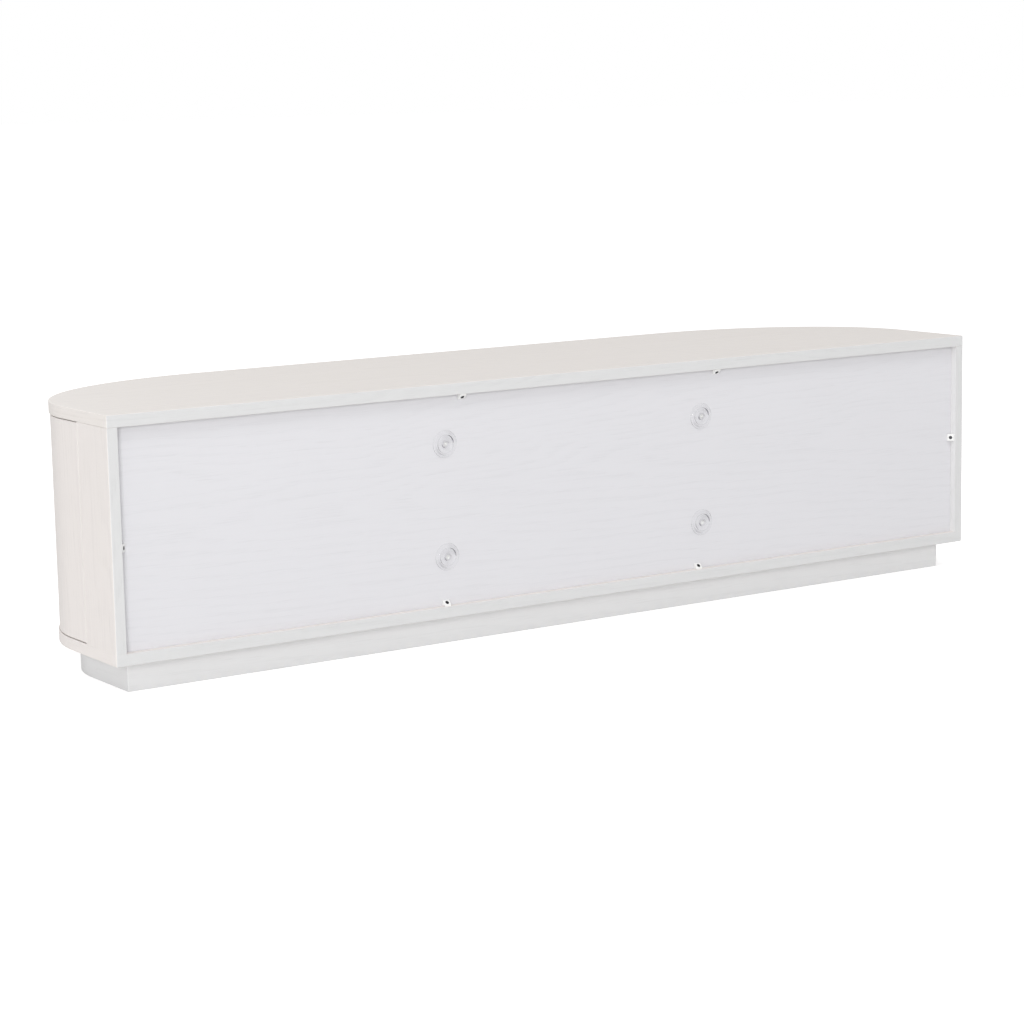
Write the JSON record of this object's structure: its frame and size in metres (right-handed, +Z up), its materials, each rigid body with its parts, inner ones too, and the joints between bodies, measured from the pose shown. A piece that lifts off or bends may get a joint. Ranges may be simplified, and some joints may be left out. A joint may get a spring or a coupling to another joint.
{
  "type": "tv stand with doors",
  "caption": "Long low white cabinet for a television, with rounded front corners, curved end doors, flat middle doors and a set-back plinth.",
  "frame": {"origin": "on the floor, under the centre of the cabinet's box", "axes": "+X along the length, -Y towards the doors, +Y towards the flat back, +Z up"},
  "size_m": [1.8, 0.46, 0.45],
  "materials": {
    "white_veneer": "white painted open-pore ash veneer, satin",
    "white_board": "white foil board with faint grain, satin",
    "inner_wood": "plain softwood or beech, unfinished",
    "clear_plastic": "clear moulded plastic",
    "white_plastic": "moulded white plastic",
    "nickel": "nickel plated steel",
    "zinc": "zinc plated steel",
    "dark_screw": "black oxide steel",
    "grey_plastic": "moulded grey plastic"
  },
  "bodies": {
    "carcass": {"top_panel": "white_veneer", "bottom_panel": "white_veneer", "side_panel_right": "white_veneer", "side_panel_left": "white_veneer", "divider_right": "white_board", "divider_left": "white_board", "back_panel": "white_board", "shelf_centre": "white_board", "shelf_right": "white_board", "shelf_left": "white_board", "shelf_pegs": "nickel", "cam_bolts": "zinc", "cam_locks": "zinc", "dowels": "inner_wood", "panel_screws": "zinc", "back_washer_discs": "clear_plastic", "back_disc_screws": "nickel", "back_corner_clips": "white_plastic", "back_clip_screws": "dark_screw", "plinth_front_rail": "white_veneer", "plinth_back_rail": "white_veneer", "plinth_end_right": "white_veneer", "plinth_end_left": "white_veneer", "plinth_cross_rails": "inner_wood", "plinth_blocks": "inner_wood", "plinth_block_screws": "zinc", "carcass_hinge_leaves": "nickel", "hinge_pins": "nickel", "hinge_washers": "white_plastic", "carcass_hinge_screws": "nickel", "latch_housings": "grey_plastic", "latch_screws": "zinc", "corner_spring_right": "zinc", "centre_spring_right": "zinc", "corner_spring_left": "zinc", "centre_spring_left": "zinc"},
    "corner_door_right": {"corner_door_right_panel": "white_veneer", "corner_door_right_hinge_leaves": "nickel", "corner_door_right_strike_plate": "zinc", "corner_door_right_screws": "nickel"},
    "corner_plunger_right": {"corner_plunger_right": "grey_plastic"},
    "centre_door_right": {"centre_door_right_panel": "white_veneer", "centre_door_right_hinge_leaves": "nickel", "centre_door_right_strike_plate": "zinc", "centre_door_right_screws": "nickel"},
    "centre_plunger_right": {"centre_plunger_right": "grey_plastic"},
    "corner_door_left": {"corner_door_left_panel": "white_veneer", "corner_door_left_hinge_leaves": "nickel", "corner_door_left_strike_plate": "zinc", "corner_door_left_screws": "nickel"},
    "corner_plunger_left": {"corner_plunger_left": "grey_plastic"},
    "centre_door_left": {"centre_door_left_panel": "white_veneer", "centre_door_left_hinge_leaves": "nickel", "centre_door_left_strike_plate": "zinc", "centre_door_left_screws": "nickel"},
    "centre_plunger_left": {"centre_plunger_left": "grey_plastic"}
  },
  "joints": [
    {"name": "corner_door_right_hinge", "type": "hinge", "parent": "carcass", "child": "corner_door_right", "pos_m": [0.2825, -0.214, 0.25], "axis": [0, 0, -1], "range_deg": [0, 90]},
    {"name": "corner_plunger_right_slide", "type": "slide", "parent": "carcass", "child": "corner_plunger_right", "axis": [0, 1, 0], "range_m": [0, 0.004], "stiffness_N_per_m": 600, "springref_m": -0.003, "deforming": ["corner_spring_right"]},
    {"name": "centre_door_right_hinge", "type": "hinge", "parent": "carcass", "child": "centre_door_right", "pos_m": [0.2635, -0.214, 0.25], "axis": [0, 0, 1], "range_deg": [0, 90]},
    {"name": "centre_plunger_right_slide", "type": "slide", "parent": "carcass", "child": "centre_plunger_right", "axis": [0, 1, 0], "range_m": [0, 0.004], "stiffness_N_per_m": 600, "springref_m": -0.003, "deforming": ["centre_spring_right"]},
    {"name": "corner_door_left_hinge", "type": "hinge", "parent": "carcass", "child": "corner_door_left", "pos_m": [-0.2825, -0.214, 0.25], "axis": [0, 0, 1], "range_deg": [0, 90]},
    {"name": "corner_plunger_left_slide", "type": "slide", "parent": "carcass", "child": "corner_plunger_left", "axis": [0, 1, 0], "range_m": [0, 0.004], "stiffness_N_per_m": 600, "springref_m": -0.003, "deforming": ["corner_spring_left"]},
    {"name": "centre_door_left_hinge", "type": "hinge", "parent": "carcass", "child": "centre_door_left", "pos_m": [-0.2635, -0.214, 0.25], "axis": [0, 0, -1], "range_deg": [0, 90]},
    {"name": "centre_plunger_left_slide", "type": "slide", "parent": "carcass", "child": "centre_plunger_left", "axis": [0, 1, 0], "range_m": [0, 0.004], "stiffness_N_per_m": 600, "springref_m": -0.003, "deforming": ["centre_spring_left"]}
  ]
}
